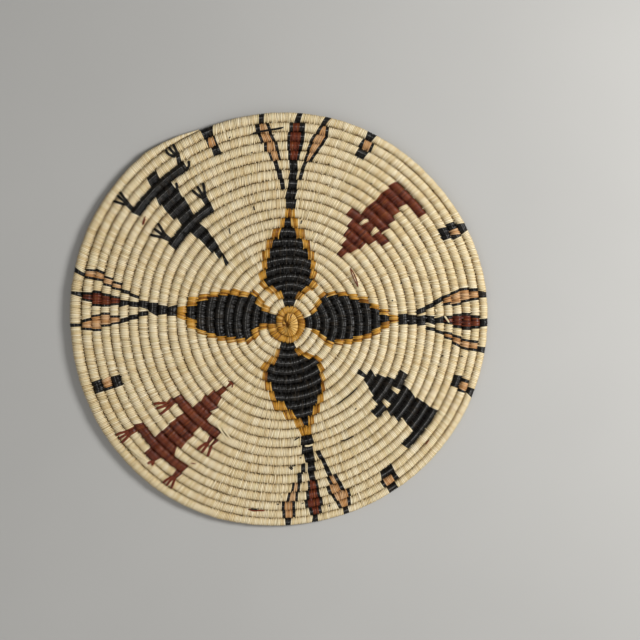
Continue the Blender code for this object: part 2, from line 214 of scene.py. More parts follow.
RED_HEAD = [
    (3, 399, 413.6), (4, 406, 414), (5, 405.5, 414.8), (6, 404.5, 415.5), (7, 404, 416.5),
    (8, 399.5, 406), (8, 408.3, 412.7), (8, 414.5, 422), (9, 404, 419), (10, 406.3, 418.3),
    (11, 408, 416), (12, 411, 415.2),
]
BLACK_HEAD = [
    (3, 313.3, 329.6), (4, 319.3, 329.6), (5, 319.8, 329.8), (6, 318.3, 330.2), (7, 318, 331.5),
    (8, 313, 319.5), (8, 321.7, 327), (8, 329, 337), (9, 317.8, 332), (10, 320, 330.6),
    (11, 322, 329.5), (12, 324, 326.7),
]

# Stretches of plain coil that make one piece each, as the rows where they begin and end
PLAIN_STRETCHES = (0, 2, 4, 6, 9, 13, 17, 23)

# Splints and threads that lie on the coil as (width, dye, routes). A route has two numbers for each of its points: the
# row with the share of its width, counted from its outer side, and the angle.
LOOSE_SPLINTS = {
    "lizard_black_toes": (0.0026, "black", [
        (1.02, 122.9, 1.5, 123, 2.3, 123.3), (1.02, 124.3, 1.5, 124.2, 2.3, 123.8),
        (1.05, 125.3, 1.45, 125.5, 1.75, 125.3, 2.3, 124.3), (1, 142.1, 1.5, 142.5, 2.3, 143.1),
        (1, 143.3, 1.5, 143.4, 2.3, 143.5), (1, 145.1, 1.5, 144.7, 2.3, 144), (3.35, 121.6, 3.75, 122.2, 4, 123.4),
        (4.5, 128.7, 4.9, 129.3, 5.1, 130.1),
    ]),
    "lizard_black_hind_toes": (0.0027, "black", [
        (6.02, 121.5, 6.5, 121.9, 7.3, 123.3), (6.02, 123.8, 6.5, 123.8, 7.3, 124),
        (6.02, 126, 6.5, 125.7, 7.3, 124.8), (6.02, 142.6, 6.5, 143.1, 7.3, 144.4),
        (6.02, 144.9, 6.5, 144.9, 7.3, 145), (6.02, 147.4, 6.5, 146.9, 7.3, 145.7),
    ]),
    "lizard_red_toes": (0.0025, "red_brown", [
        (1, 212.9, 1.5, 213, 2.3, 213.8), (1, 214.2, 1.5, 214.2, 2.3, 214.3), (1, 215.5, 1.5, 215.3, 2.3, 214.9),
        (1, 231.7, 1.5, 231.9, 2.3, 232.8), (1, 232.9, 1.5, 232.9, 2.3, 233.2), (1, 234.4, 1.5, 234.2, 2.3, 233.6),
        (2.25, 225.4, 1.9, 225, 1.6, 224.8), (2.3, 225.6, 2, 225.7, 1.75, 226.1),
    ]),
    "lizard_red_hind_toes": (0.0027, "red_brown", [
        (6.05, 210.8, 6.5, 211.3, 7.3, 213), (6.05, 212.7, 6.5, 213.1, 7.3, 213.9),
        (6.02, 215.2, 6.5, 215.2, 7.3, 214.8), (6.05, 234, 6.5, 234.3, 7.3, 235.5),
        (6.02, 235.9, 6.5, 236, 7.3, 236.1), (6.05, 238.5, 6.5, 238.2, 7.3, 237.6),
    ]),
    "lizard_red_tail_hook": (0.0014, "red_brown", [
        (13.8, 225.6, 13.95, 227.2, 13.6, 228.4), (13.85, 223.2, 13.95, 225.4, 13.9, 227.2),
    ]),
    "thread_over_feather": (0.0021, "black", [(1.66, 451.6, 1.78, 453.4, 1.83, 456, 1.9, 459.2, 2.02, 460.9)]),
    "pale_splints": (0.0017, "plain", [
        (1.37, 217.6, 1.45, 219.5, 1.58, 221.9, 1.8, 224.2), (1.5, 218.6, 1.66, 220.3, 1.85, 222.6),
        (9.42, 234.6, 9.2, 236.9, 8.95, 239.2, 8.6, 241.9), (9.44, 237.8, 9.25, 239.6, 9, 241.8, 8.76, 243.8),
        (4.55, 360.4, 4.75, 361.4, 5.02, 362.8), (8.95, 277.3, 8.86, 279.2, 8.9, 281.2), (5.85, 364.6, 5.95, 365.6),
        (3.55, 268.1, 4, 267.2),
    ]),
    "red_threads": (0.001, "red_brown", [
        (13.15, 402.2, 13.2, 398, 13.38, 392.5, 13.6, 387.8), (13.18, 402, 13.42, 398.2, 13.6, 393, 13.62, 388),
        (4.62, 143.2, 4.68, 144.6, 4.85, 146.2), (4.75, 144, 4.9, 145.8), (4.55, 234.9, 4.75, 236.4),
        (1.9, 318.4, 1.95, 320.2),
    ]),
    "dark_threads": (0.001, "black", [
        (12, 300.5, 12.05, 306, 12.03, 311, 12, 317), (9.76, 272.7, 9.9, 274, 10.03, 275.4),
        (12.85, 133.4, 13.4, 134.2, 13.9, 134.7), (9.35, 466.8, 9.75, 466.9), (8.2, 293.6, 8.02, 296.2, 8.03, 299.9),
        (11.2, 442.7, 11.6, 443.2), (6.98, 270.4, 7, 272.7), (10.3, 482, 10.9, 483.4),
    ]),
    "brown_mark": (0.0014, "red_brown", [(1.92, 257.7, 1.8, 259.3, 1.93, 261, 1.97, 262.6)]),
    "dark_mark": (0.0018, "black", [(1.97, 258.2, 1.92, 259.3, 1.97, 260.5)]),
    "dark_flecks": (0.0011, "black", [
        (6.85, 270, 6.6, 271.3), (6.9, 270.6, 6.7, 271.6), (4.85, 419.2, 4.9, 419.8), (10.45, 372.2, 10.52, 372.8),
        (9.08, 379.3, 9.1, 380), (9, 375, 9.02, 375.7), (7.1, 394.4, 7.15, 395), (5, 393.1, 5.06, 393.7),
        (1.78, 467.4, 1.86, 468), (2.38, 454.5, 2.45, 454.9), (1.72, 282.3, 1.8, 282.7), (2.72, 274.2, 2.8, 274.7),
        (2.78, 266.3, 2.82, 266.8), (2.66, 349, 2.75, 349.5), (4.8, 348, 4.95, 348.4), (3.88, 351.2, 3.95, 351.7),
        (10.4, 307.4, 10.45, 308.6), (4.88, 435.8, 4.95, 436.2), (3.9, 462, 3.96, 462.4), (7.72, 274.8, 7.8, 275.2),
        (17.75, 413.6, 17.8, 415),
    ]),
}


LengthProperty = partial(FloatProperty, unit="LENGTH")
ColourProperty = partial(FloatVectorProperty, subtype="COLOR")


class CoilSettings(PropertyGroup):
    """The coil's route and thickness."""

    turns: IntProperty(name="Turns", description="Turns of the coil", default=23, min=1)
    start_radius: LengthProperty(name="Start radius", description="Radius of the first turn", default=0.0043)
    start_pitch: LengthProperty(name="Start pitch", description="Width of a row at the start", default=0.00685)
    row_pitch: LengthProperty(name="Row pitch", description="Width of a row at the rim", default=0.00895)
    drift_x: LengthProperty(name="Drift X", description="How far the rim's middle drifts", default=-0.0057)
    drift_y: LengthProperty(name="Drift Y", description="How far the rim's middle drifts", default=0.0056)
    start_oval: LengthProperty(name="Start oval", description="How oval the first rows are", default=0.0017)
    middle_oval: LengthProperty(name="Middle oval", description="How oval the middle rows are", default=0.00065)
    height: LengthProperty(name="Height", description="Thickness of the plaque", default=0.0084)
    upper_corner: LengthProperty(name="Upper corner", description="Radius of a row's upper shoulders", default=0.0041)
    lower_corner: LengthProperty(name="Lower corner", description="Radius of a row's lower shoulders", default=0.003)
    end_taper: FloatProperty(name="End taper", description="Degrees over which the coil's end thins", default=14.0)


class StitchSettings(PropertyGroup):
    """One stitch, and how much the stitches differ."""

    width: LengthProperty(name="Width", description="Width of one splint", default=0.0015)
    groove: LengthProperty(name="Groove", description="Depth between two stitches", default=0.00038)
    bite: LengthProperty(name="Bite", description="How far a stitch reaches on to the row inside", default=0.00085)
    slant: FloatProperty(name="Slant", description="Sideways run of a stitch as a share of its row", default=0.1)
    unevenness: FloatProperty(name="Unevenness", description="How much the stitches differ, 1 is natural", default=1.0)


class DyeSettings(PropertyGroup):
    """The colours of the fibres."""

    plain: ColourProperty(name="Plain", description="Undyed splints", default=(0.79, 0.665, 0.42))
    black: ColourProperty(name="Black", description="Black splints", default=(0.0075, 0.0062, 0.0048))
    gold: ColourProperty(name="Gold", description="Gold splints", default=(0.52, 0.245, 0.024))
    red_brown: ColourProperty(name="Red-brown", description="Red-brown splints", default=(0.13, 0.024, 0.009))
    peach: ColourProperty(name="Peach", description="Peach splints", default=(0.57, 0.31, 0.125))


class StageSettings(PropertyGroup):
    """The floor, the light and the camera."""

    floor: ColourProperty(name="Floor", description="Floor colour", default=(0.455, 0.447, 0.425))
    floor_size: LengthProperty(name="Floor size", description="Side of the floor", default=8.0)
    key_power: FloatProperty(name="Key power", description="Watts of the main lamp", default=23.3)
    fill_power: FloatProperty(name="Fill power", description="Watts of the soft lamp", default=9.0)
    sky: FloatProperty(name="Sky", description="Strength of the light from all round", default=0.22)
    lens: FloatProperty(name="Lens", description="Focal length in millimetres", default=60.0)
    picture_width: LengthProperty(name="Picture width", description="Width that the picture takes in", default=0.6125)
    aim_x: LengthProperty(name="Aim X", description="Point below the camera", default=0.0381)
    aim_y: LengthProperty(name="Aim Y", description="Point below the camera", default=0.0005)


EASING_POWER = 5
OVAL_POWER = 10
GUIDE_STEPS = 72
START_WIDTH_SHARE = 0.3
START_TAPER_TURNS = 0.6
END_WIDTH_SHARE = 0.1

# How far down a row's rounded shoulder a loose splint may lie, as a share of the shoulder's radius
DEEPEST_SHARE = 0.66
MILLIMETRE = 0.001

# How far the coil lies outside the even spiral, in millimetres, at some of its turns: the mean round the plaque, then
# the cosine and sine parts of one to six waves round it
STRAY_TURNS = (0.5, 3.0, 6.0, 9.0, 12.0, 15.0, 18.0, 20.5, 22.0, 23.1)
STRAY = (
    (0.0,) * 13,
    (0.1, -1.0, 0.6, 0.0, 0.1, 0.4, -0.3, 0.2, 0.3, 0.3, -0.3, -0.1, 0.1),
    (0.2, -0.2, -0.2, -0.1, -0.2, 0.3, -0.3, 0.4, -0.2, 0.2, -0.2, 0.2, 0.2),
    (0.1, -0.4, -0.8, 0.3, -0.3, 0.3, -0.2, 0.2, -0.1, 0.1, 0.1, -0.1, -0.1),
    (0.3, -0.4, -1.0, 0.0, -0.1, 0.2, -0.2, 0.0, -0.4, -0.2, 0.2, -0.1, 0.0),
    (0.7, -0.5, -0.8, 0.0, -0.4, 0.4, -0.2, -0.1, -0.6, -0.1, 0.1, -0.3, 0.3),
    (1.0, -0.8, -0.7, -0.5, -0.3, 0.4, -0.1, -0.2, -0.5, 0.1, 0.1, 0.0, 0.1),
    (0.6, -1.0, -0.5, -0.6, 0.1, 0.6, 0.2, -0.3, -0.4, 0.3, 0.1, -0.1, 0.0),
    (0.2, -1.3, 0.1, -0.5, 0.4, 0.7, 0.1, -0.4, -0.3, 0.3, 0.2, -0.1, 0.1),
    (-0.3, -2.8, 0.5, -0.2, 0.3, 0.8, -0.3, -0.2, -0.2, 0.1, 0.4, -0.1, 0.1),
)


class Spiral:
    """The coil's middle line from its start, with the length run along it."""

    def __init__(self, scene):
        self.coil = scene.plaque_coil
        self.stitch = scene.plaque_stitch
        self.turns = np.linspace(0.0, self.coil.turns, self.coil.turns * GUIDE_STEPS + 1)
        self.points = self.place(self.turns)
        steps = np.linalg.norm(np.diff(self.points, axis=0), axis=1)
        self.lengths = np.concatenate([[0.0], np.cumsum(steps)])

    def turn(self, row, angle):
        return self.coil.turns - row - (angle - END_ANGLE) / FULL_TURN

    def angle(self, turn):
        return np.radians(END_ANGLE + FULL_TURN * (self.coil.turns - turn))

    def stray(self, turn, angle):
        """How far the coil, laid by hand, lies outside the even spiral."""
        waves = [np.ones_like(angle)]
        for count in range(1, len(STRAY[0]) // 2 + 1):
            waves += [np.cos(count * angle), np.sin(count * angle)]
        parts = zip(zip(*STRAY), waves)
        return sum(np.interp(turn, STRAY_TURNS, sizes) * wave for sizes, wave in parts) * MILLIMETRE

    def radius(self, turn, angle):
        coil = self.coil
        share = turn / coil.turns
        easing = (coil.row_pitch - coil.start_pitch) * coil.turns / EASING_POWER * (1 - (1 - share) ** EASING_POWER)
        drift = share * (coil.drift_x * np.cos(angle) + coil.drift_y * np.sin(angle))
        oval = coil.start_oval * np.abs(1 - share) ** OVAL_POWER + coil.middle_oval * 4 * share * (1 - share)
        even = coil.start_radius + coil.row_pitch * turn - easing + drift - oval * np.cos(2 * angle)
        return even + self.stray(turn, angle)

    def spacing(self, turn):
        angle = self.angle(turn)
        return self.radius(turn + 0.5, angle) - self.radius(turn - 0.5, angle)

    def width_share(self, turn):
        """How thick the coil is there, as a share of a full row at the rim."""
        full = self.spacing(turn) / self.coil.row_pitch
        start = START_WIDTH_SHARE + (1 - START_WIDTH_SHARE) * np.minimum(turn / START_TAPER_TURNS, 1.0)
        left = np.minimum((self.coil.turns - turn) * FULL_TURN / self.coil.end_taper, 1.0)
        return full * start * (END_WIDTH_SHARE + (1 - END_WIDTH_SHARE) * left)

    def place(self, turn):
        """Points of the middle line. A thinned end stays against the thickest part of the row inside it."""
        angle = self.angle(turn)
        thinned = self.spacing(turn) / 2 - self.width_share(turn) * self.coil.row_pitch / 2
        at_end = turn > self.coil.turns - 1
        radius = self.radius(turn, angle) - np.where(at_end, thinned, 0.0)
        full = self.spacing(turn) / self.coil.row_pitch
        height = np.where(at_end, full, self.width_share(turn)) * self.coil.height / 2
        return np.stack([START_X + radius * np.cos(angle), START_Y + radius * np.sin(angle), height], 1)

    def length_at(self, row, angle):
        """Length from the start to a place given by its row and angle."""
        return float(np.interp(self.turn(row, angle), self.turns, self.lengths))

    def top(self, row, angle):
        """A point on top of the coil. The row's fraction is the share of its width, from the outside."""
        whole = math.floor(row)
        inward = row - whole - 0.5
        turn = self.turn(whole, angle)
        radians = math.radians(angle)
        radius = float(self.radius(turn - inward, radians))
        size = float(self.width_share(turn))
        corner = self.coil.upper_corner * size
        aside = (abs(inward) * self.coil.row_pitch - self.coil.row_pitch / 2) * size + corner
        aside = min(max(aside, 0.0), corner * DEEPEST_SHARE)
        level = self.coil.height * size - corner + math.sqrt(corner ** 2 - aside ** 2)
        return Vector((START_X + radius * math.cos(radians), START_Y + radius * math.sin(radians), level))


def deselect_all():
    if bpy.context.mode != "OBJECT":
        bpy.ops.object.mode_set(mode="OBJECT")
    bpy.ops.object.select_all(action="DESELECT")


def make_active(obj):
    deselect_all()
    obj.select_set(True)
    bpy.context.view_layer.objects.active = obj


def select_parts(obj, kind, chosen):
    """Selects, in edit mode, the points, edges or faces for which chosen says yes."""
    make_active(obj)
    bpy.ops.object.mode_set(mode="EDIT")
    bpy.ops.mesh.select_mode(type=kind)
    bpy.ops.mesh.select_all(action="DESELECT")
    bpy.ops.object.mode_set(mode="OBJECT")
    parts = {"VERT": obj.data.vertices, "EDGE": obj.data.edges, "FACE": obj.data.polygons}[kind]
    for part in parts:
        part.select = bool(chosen(part))
    bpy.ops.object.mode_set(mode="EDIT")


def add_values(mesh, name, kind, domain, values):
    """Stores one value or vector for each point or face."""
    made = mesh.attributes.new(name, kind, domain)
    made.data.foreach_set("value" if kind == "FLOAT" else "vector", np.asarray(values, np.float32).ravel())


def finish_piece(piece, dye, *nodes):
    """Gives a piece its finish and its place on the packed part."""
    piece.data.materials.clear()
    piece.data.materials.append(bpy.data.materials[dye + "_splints"])
    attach(piece, BODY)
    if nodes:
        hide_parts(*nodes)


GUIDE = "coil_guide"
PATTERN = "pattern_stitch"
STITCH_SHOULDER = 0.3
UPPER_SEGMENTS = 5
LOWER_SEGMENTS = 2

# Distances that count as none, in lengths of a stitch and in metres
NEAR = 0.05
MERGE = 0.00001


class PLAQUE_OT_guide(Operator):
    """Draws the spiral that the stitches follow"""

    bl_idname = "plaque.guide"
    bl_label = "Coil guide"

    def execute(self, context):
        spiral = Spiral(context.scene)
        data = bpy.data.curves.new(GUIDE, "CURVE")
        data.dimensions = "3D"
        data.twist_mode = "Z_UP"
        data.use_deform_bounds = False
        spline = data.splines.new("POLY")
        spline.points.add(len(spiral.turns) - 1)
        shares = spiral.width_share(spiral.turns)
        for point, place, share in zip(spline.points, spiral.points, shares):
            point.co = (*place, 1.0)
            point.radius = share
        context.scene.collection.objects.link(bpy.data.objects.new(GUIDE, data))
        return {"FINISHED"}


class PLAQUE_OT_pattern(Operator):
    """Models one stitch, wrapped round the bundle, that the whole coil is sewn with"""

    bl_idname = "plaque.pattern"
    bl_label = "Pattern stitch"

    def execute(self, context):
        coil, stitch = context.scene.plaque_coil, context.scene.plaque_stitch
        deselect_all()
        bpy.ops.mesh.primitive_cube_add(size=1.0, location=(0.5, 0.0, 0.0))
        pattern = context.active_object
        pattern.name = PATTERN
        pattern.scale = (1.0, coil.row_pitch, coil.height)
        bpy.ops.object.transform_apply(location=True, rotation=False, scale=True)
        select_parts(pattern, "FACE", lambda face: abs(face.normal.x) > 0.5)
        bpy.ops.mesh.delete(type="ONLY_FACE")
        for side, corner, segments in ((1, coil.upper_corner, UPPER_SEGMENTS), (-1, coil.lower_corner, LOWER_SEGMENTS)):
            select_parts(pattern, "EDGE", lambda edge: self.runs_along(pattern, edge, side))
            bpy.ops.mesh.bevel(offset=corner, offset_type="OFFSET", segments=segments, affect="EDGES")
        for cut in (STITCH_SHOULDER, 1.0 - STITCH_SHOULDER):
            bpy.ops.mesh.select_all(action="SELECT")
            bpy.ops.mesh.bisect(plane_co=(cut, 0.0, 0.0), plane_no=(1.0, 0.0, 0.0))
        depth = 1.0 - 2.0 * stitch.groove / coil.row_pitch
        select_parts(pattern, "VERT", lambda point: min(abs(point.co.x), abs(point.co.x - 1.0)) < NEAR)
        bpy.ops.transform.resize(value=(1.0, depth, depth), center_override=(0.5, 0.0, 0.0))
        bpy.ops.object.mode_set(mode="OBJECT")
        return {"FINISHED"}

    def runs_along(self, pattern, edge, side):
        """Whether an edge is one of the two long corners above (1) or below (-1)."""
        first, second = (pattern.data.vertices[index].co for index in edge.vertices)
        at_side = abs(abs(first.y) - pattern.dimensions.y / 2) < MERGE
        at_level = abs(first.z * side - pattern.dimensions.z / 2) < MERGE
        return abs(first.x - second.x) > 0.5 and at_side and at_level


# Sewing


# Slants of the edges of the dyed runs, and how far along the coil an edge's slant is felt
EDGE_SPREAD = 0.17
PETAL_EDGE_SHARE = 0.55
STEEPEST_SLANT = 0.45
SLANT_REACH = 0.007

# How much the stitches differ, as the spreads or the shape and scale of random draws
SHIFT_SPREAD = 0.14
SWELL_SPREAD = 0.015
SLANT_SPREAD = 0.047
LEAST_BITE = 0.15
EXTRA_BITE = (1.3, 0.45)
MOST_EXTRA_BITE = 1.7
GROOVE_DEPTH = (2.2, 0.55)
DEPTH_LIMITS = (0.3, 2.6)

# Slow waves along the coil as (length, phase, size), and how much they change the slant, size and place of the stitches
WAVES = ((0.031, 0.4, 0.9), (0.067, 1.7, 1.0), (0.149, 2.9, 1.2))
SLANT_WAVE = 0.05
SIZE_WAVE = 0.012
SIDE_WAVE = 0.00018

# The tail that bites on the next row in, in shares of a row's half width and half height
TIP_START = 0.78
TIP_RUN = 0.12
TIP_LEVEL = 0.33
TIP_SPREAD = 0.34
TIP_PLACE = 0.955
GROOVE_BITE = 0.1
DYED_TAIL = 1.6
TAIL_LIFT = 0.0002

# A ledge low on the inner side closes the slit between two rows
LEDGE = 0.0009
LEDGE_SIDE = -0.8
LEDGE_FOOT = -0.5


def slow_wave(length, shift):
    """A smooth uneven wave along the coil, about 1 high."""
    return sum(size * np.sin(math.tau * length / wave + phase + shift) for wave, phase, size in WAVES) / 2


def place_of(row, angle):
    """Degrees from the coil's outer end, which name a place on it."""
    return round(row * FULL_TURN + angle, 2)


def petal_parts(side):
    """A petal as its black middles and its gold edges."""
    middles, edges = [], []
    for row, gold_from, first, last, gold_to in PETALS[side]:
        middles += [(row, first, last)] * (first < last)
        edges += [(row, low, high) for low, high in ((gold_from, first), (last, gold_to)) if low < high]
    return middles, edges


def feather_parts(name):
    """A feather as its black edges and its coloured middles."""
    edges, middles = [], []
    for row, first, colour_first, colour_last, last, _, _ in FEATHERS[name]:
        edges += [(row, first, colour_first), (row, colour_last, last)]
        middles.append((row, colour_first, colour_last))
    return edges, middles


def stalk_runs(side):
    """A spray's stalks without their lean."""
    return [run[:3] for run in STALKS[side]]


def dyed_runs():
    """Every dyed run of the plaque."""
    runs = START + CHECK_MIDDLES + BLACK_LIZARD + RED_LIZARD + RED_HEAD + BLACK_HEAD
    groups = [part for table in (STEMS, FEATHER_TIPS, RIM_CHECKS) for part in table.values()]
    for side in SIDES:
        groups += [*petal_parts(side), stalk_runs(side)]
    for name in FEATHERS:
        groups += feather_parts(name)
    return sum(groups, runs)


def edge_slants(spiral):
    """How the edges of the dyed runs slant, by their place. Petals and feathers slant along their outlines."""
    slants = {}
    for row, first, last in dyed_runs():
        for angle in (first, last):
            place = place_of(row, angle)
            slants[place] = np.random.default_rng(int(place * 100)).normal(0.0, EDGE_SPREAD) + spiral.stitch.slant
    drawn = {}
    for rows in FEATHERS.values():
        for row, first, colour_first, colour_last, last, first_lean, last_lean in rows:
            drawn.update({(row, first): first_lean, (row, colour_first): first_lean})
            drawn.update({(row, colour_last): last_lean, (row, last): last_lean})
    for side in SIDES:
        for row, first, last, lean in STALKS[side]:
            drawn.update({(row, first): lean, (row, last): lean})
        middles, edges = petal_parts(side)
        outline = {row: (first, last) for row, first, last in middles}
        for row, first, last in middles + edges:
            near = min(max(row, min(outline)), max(outline))
            before, after = outline.get(near - 1, outline[near]), outline.get(near + 1, outline[near])
            for angle in (first, last):
                edge = int(angle > sum(outline[near]) / 2)
                drawn[row, angle] = PETAL_EDGE_SHARE * (after[edge] - before[edge]) / 2
    for (row, angle), lean in drawn.items():
        radius = float(spiral.radius(spiral.turn(row, angle), math.radians(angle)))
        slant = math.radians(lean) * radius / spiral.coil.row_pitch
        slants[place_of(row, angle)] = min(max(slant, -STEEPEST_SLANT), STEEPEST_SLANT)
    return slants


def runs_in_stitches(spiral, runs, fineness):
    """Each run as (start, end, stitches, slant at its start, slant at its end), in order along the coil."""
    slants = edge_slants(spiral)
    made = []
    for row, first, last in runs:
        start, end = spiral.length_at(row, last), spiral.length_at(row, first)
        turn = (spiral.turn(row, first) + spiral.turn(row, last)) / 2
        outer = 1 + spiral.coil.row_pitch / 2 / float(spiral.radius(turn, 0.0))
        count = max(1, round((end - start) * outer * fineness / spiral.stitch.width))
        edges = [slants.get(place_of(row, angle), spiral.stitch.slant) for angle in (last, first)]
        made.append((start, end, count, *edges))
    return sorted(made)


def lay_straight(name, stretches):
    """The stitches of one piece in a straight line along X, one row of copies for each run."""
    pattern = bpy.data.objects[PATTERN]
    laid = []
    for start, end, count, _, _ in stretches:
        run = pattern.copy()
        run.data = pattern.data.copy()
        run.location.x = start
        run.scale.x = (end - start) / count
        repeat = run.modifiers.new("row_of_stitches", "ARRAY")
        repeat.use_relative_offset = False
        repeat.use_constant_offset = True
        repeat.constant_offset_displace = (1.0, 0.0, 0.0)
        repeat.count = count
        repeat.use_merge_vertices = True
        repeat.merge_threshold = MERGE
        bpy.context.scene.collection.objects.link(run)
        laid.append(run)
    deselect_all()
    for run in laid:
        run.select_set(True)
    bpy.context.view_layer.objects.active = laid[0]
    bpy.ops.object.convert(target="MESH")
    if len(laid) > 1:
        bpy.ops.object.join()
    piece = bpy.context.active_object
    piece.name = name
    piece.data.name = name
    bpy.ops.object.transform_apply(location=True, rotation=True, scale=True)
    return piece


def loosen(piece, stretches, spiral, tail):
    """Gives each stitch its own width, height, slant and bite, as sewing by hand does."""
    mesh, stitch, coil = piece.data, spiral.stitch, spiral.coil
    uneven = stitch.unevenness
    place = np.empty(len(mesh.vertices) * 3)
    mesh.vertices.foreach_get("co", place)
    place = place.reshape(-1, 3)

    # Which run and which stitch each point belongs to
    starts, finishes, counts, start_slants, end_slants = (np.array(column) for column in zip(*stretches))
    pitches = (finishes - starts) / counts
    firsts = np.concatenate([[0], np.cumsum(counts + 1)[:-1]])
    run = np.clip(np.searchsorted(starts - MERGE, place[:, 0], side="right") - 1, 0, None)
    along = (place[:, 0] - starts[run]) / pitches[run]
    number = np.minimum(np.floor(along + NEAR), counts[run]).astype(int)
    part = along - number
    on_groove = np.abs(part) < NEAR
    here = firsts[run] + number
    total = int((counts + 1).sum())

    rng = np.random.default_rng(RANDOM_SEED + int(starts[0] * 1e5))
    at_end = np.zeros(total + 1, bool)
    at_end[firsts] = True
    at_end[firsts + counts] = True
    shift = np.where(at_end, 0.0, rng.normal(0.0, SHIFT_SPREAD, total + 1) * uneven)
    swell = rng.normal(0.0, SWELL_SPREAD, total + 1) * uneven
    slant = rng.normal(0.0, SLANT_SPREAD, total + 1) * uneven
    bite = LEAST_BITE + rng.gamma(*EXTRA_BITE, total + 1).clip(0.0, MOST_EXTRA_BITE)
    depth = rng.gamma(*GROOVE_DEPTH, total + 1).clip(*DEPTH_LIMITS)

    def base(length):
        return stitch.slant + SLANT_WAVE * slow_wave(length, 1.0) * uneven

    # Along the coil
    low = number + shift[here]
    high = number + 1 + shift[np.minimum(here + 1, total)]
    x = starts[run] + pitches[run] * np.where(on_groove, low, low * (1 - part) + high * part)
    half_width, half_height = coil.row_pitch / 2, coil.height / 2
    across, up = place[:, 1] / half_width, place[:, 2] / half_height
    before = np.where(on_groove, (slant[here] + slant[np.maximum(here - 1, 0)]) / 2, slant[here])
    reach = np.minimum(SLANT_REACH, (finishes - starts)[run])
    from_start = np.clip(1 - (x - starts[run]) / reach, 0.0, 1.0) * (start_slants[run] - base(starts[run]))
    from_end = np.clip(1 - (finishes[run] - x) / reach, 0.0, 1.0) * (end_slants[run] - base(finishes[run]))
    loose = np.clip(np.minimum(x - starts[run], finishes[run] - x) / stitch.width, 0.0, 1.0)
    x = x + (base(x) + from_start + from_end + before * loose) * across * half_width

    # Across the coil and up
    size = 1.0 + np.where(on_groove, 0.0, swell[here]) + SIZE_WAVE * slow_wave(x, 0.0) * uneven
    inner = on_groove & ~at_end[here]
    size = size - np.where(inner, (depth[here] - 1) * stitch.groove / half_width, 0.0)
    tip = np.clip((-across - TIP_START) / TIP_RUN, 0.0, 1.0)
    tip *= np.clip(1 - np.abs(up - TIP_LEVEL) / TIP_SPREAD, 0.0, 1.0)
    reach = np.where(on_groove, GROOVE_BITE, bite[here]) * stitch.bite * tail
    y = place[:, 1] * size - tip * reach + SIDE_WAVE * slow_wave(x, 2.0) * uneven
    y = np.where((across < LEDGE_SIDE) & (up > LEDGE_FOOT) & (up < 0.0), -half_width - LEDGE, y)
    corner = coil.upper_corner
    beside = coil.row_pitch - half_width * TIP_PLACE - (half_width - corner) - reach
    next_row = half_height - corner + np.sqrt(np.maximum(corner ** 2 - np.maximum(beside, 0.0) ** 2, 0.0))
    level = np.maximum(place[:, 2] * size, next_row + TAIL_LIFT)
    z = np.maximum(place[:, 2] * size * (1 - tip) + level * tip, -half_height)
    made = np.stack([x, y, z], 1)
    mesh.vertices.foreach_set("co", made.ravel())

    add_values(mesh, "straight", "FLOAT_VECTOR", "POINT", made)
    # The seams mark the grooves between stitches, where the finish paints shade with some grime
    add_values(mesh, "seam", "FLOAT", "POINT", on_groove)
    corners = np.empty(len(mesh.polygons), np.int32)
    mesh.polygons.foreach_get("loop_start", corners)
    around = np.empty(len(mesh.loops), np.int32)
    mesh.loops.foreach_get("vertex_index", around)
    owner = here[np.stack([around[corners + step] for step in range(4)], 1)].min(axis=1)
    add_values(mesh, "stitch_shade", "FLOAT_VECTOR", "FACE", rng.random((total + 1, 3))[owner])
    mesh.update()


SMOOTH_ANGLE = 62.0


def bend(piece):
    """Closes the ends of the runs and bends the straight piece along the guide."""
    make_active(piece)
    bpy.ops.object.mode_set(mode="EDIT")
    bpy.ops.mesh.select_all(action="SELECT")
    bpy.ops.mesh.fill_holes(sides=0)
    bpy.ops.object.mode_set(mode="OBJECT")
    along = piece.modifiers.new("along_the_coil", "CURVE")
    along.object = bpy.data.objects[GUIDE]
    along.deform_axis = "POS_X"
    bpy.ops.object.modifier_apply(modifier=along.name)
    bpy.ops.object.shade_smooth_by_angle(angle=math.radians(SMOOTH_ANGLE))


def sew(context, name, runs, dye, *nodes, fineness=1.0):
    """Sews one piece along the coil."""
    spiral = Spiral(context.scene)
    stretches = runs_in_stitches(spiral, runs, fineness)
    piece = lay_straight(name, stretches)
    loosen(piece, stretches, spiral, 1.0 if dye == "plain" else DYED_TAIL)
    bend(piece)
    finish_piece(piece, dye, *nodes)


class PLAQUE_OT_plain_rows(Operator):
    """Sews the plain stretches of the coil between the dyed runs"""

    bl_idname = "plaque.plain_rows"
    bl_label = "Plain rows"

    def execute(self, context):
        turns = context.scene.plaque_coil.turns
        taken = sorted((place_of(row, first), place_of(row, last)) for row, first, last in dyed_runs())
        free, reached = [], END_ANGLE
        for first, last in taken + [(turns * FULL_TURN + END_ANGLE,) * 2]:
            if first > reached:
                free.append((reached, first))
            reached = max(reached, last)
        for number, (outer, inner) in enumerate(zip(PLAIN_STRETCHES, PLAIN_STRETCHES[1:])):
            low, high = (row * FULL_TURN + END_ANGLE for row in (outer, inner))
            runs = [(0, max(first, low), min(last, high)) for first, last in free if first < high and last > low]
            sew(context, f"plain_rows_{number}", runs, "plain", "coil")
        return {"FINISHED"}


class PLAQUE_OT_petals(Operator):
    """Sews the four black petals with their gold edges"""

    bl_idname = "plaque.petals"
    bl_label = "Petals"

    def execute(self, context):
        for side in SIDES:
            middles, edges = petal_parts(side)
            sew(context, f"petal_{side}_stitches", middles, "black", f"petal_{side}")
            sew(context, f"petal_{side}_edges", edges, "gold", f"petal_tip_{side}")
        return {"FINISHED"}


